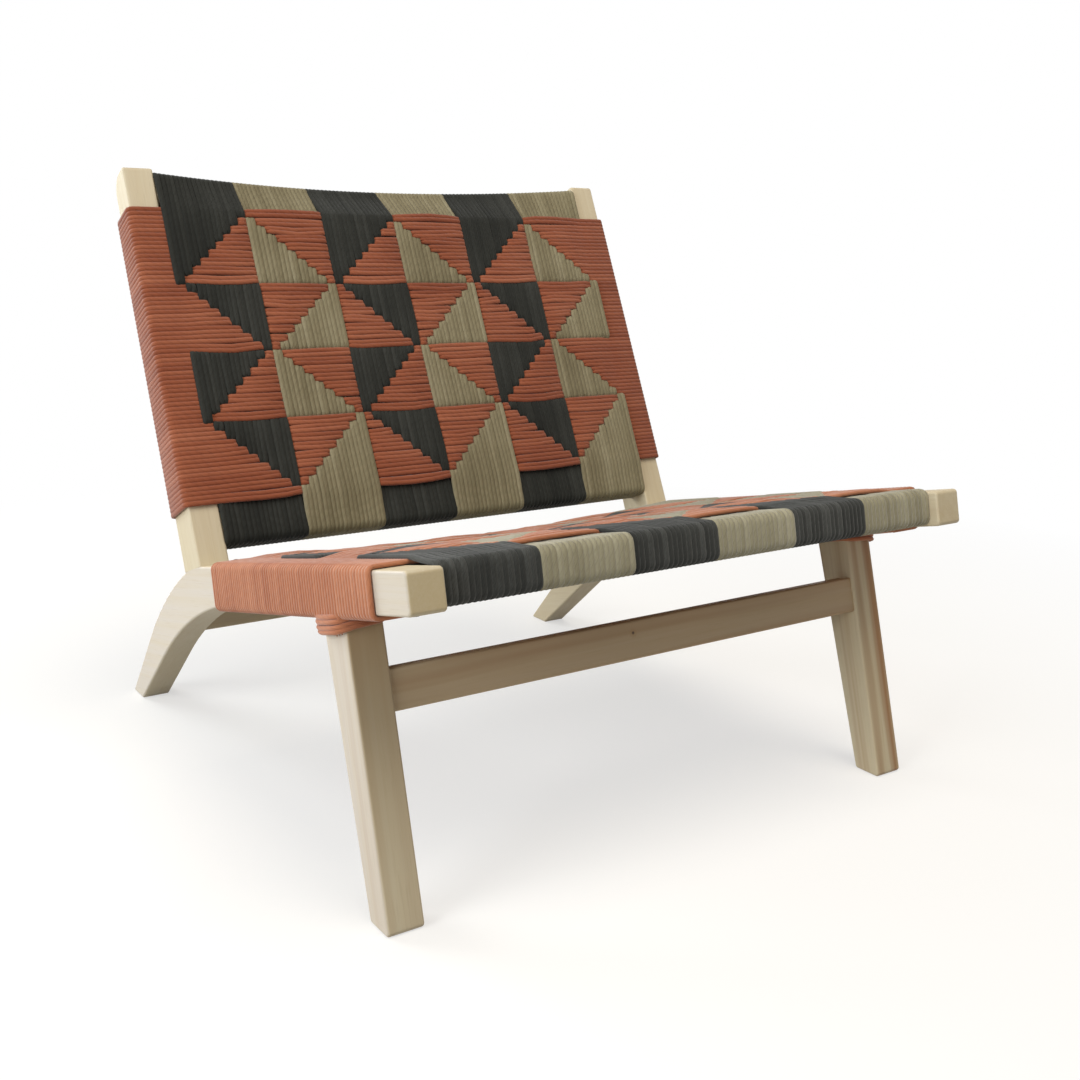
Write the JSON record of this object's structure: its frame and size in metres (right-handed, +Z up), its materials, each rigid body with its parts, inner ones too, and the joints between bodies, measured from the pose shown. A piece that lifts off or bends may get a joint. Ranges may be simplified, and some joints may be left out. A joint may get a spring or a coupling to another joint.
{
  "type": "garden lounge chair",
  "caption": "Low armless lounge chair with a bare hardwood frame, curved rear legs, and a seat and raked back woven in triangles from coloured round cord.",
  "frame": {"origin": "on the floor, at the middle of the chair's bounding box", "axes": "the chair faces -Y; +X is to the right as seen from the front; +Z is up"},
  "size_m": [0.6606, 0.7364, 0.6413],
  "materials": {
    "bare_wood": "bare, fine sanded",
    "charcoal_cord": "twisted round cord",
    "taupe_cord": "twisted round cord",
    "terracotta_cord": "twisted round cord"
  },
  "bodies": {
    "root": {"back_bottom_rail": "bare_wood", "back_rail_dowels": "bare_wood", "back_top_rail": "bare_wood", "back_warp_band_1": "charcoal_cord", "back_warp_band_2": "taupe_cord", "back_warp_band_3": "charcoal_cord", "back_warp_band_4": "taupe_cord", "back_warp_band_5": "charcoal_cord", "back_warp_band_6": "taupe_cord", "back_weft": "terracotta_cord", "front_stretcher": "bare_wood", "left_back_stile": "bare_wood", "left_front_leg": "bare_wood", "left_leg_binding": "terracotta_cord", "left_side_rail": "bare_wood", "rear_stretcher": "bare_wood", "right_back_stile": "bare_wood", "right_front_leg": "bare_wood", "right_leg_binding": "terracotta_cord", "right_side_rail": "bare_wood", "seat_front_rail": "bare_wood", "seat_rail_dowels": "bare_wood", "seat_rear_rail": "bare_wood", "seat_warp_band_1": "charcoal_cord", "seat_warp_band_2": "taupe_cord", "seat_warp_band_3": "charcoal_cord", "seat_warp_band_4": "taupe_cord", "seat_warp_band_5": "charcoal_cord", "seat_warp_band_6": "taupe_cord", "seat_weft": "terracotta_cord", "stile_dowels": "bare_wood"}
  },
  "joints": []
}
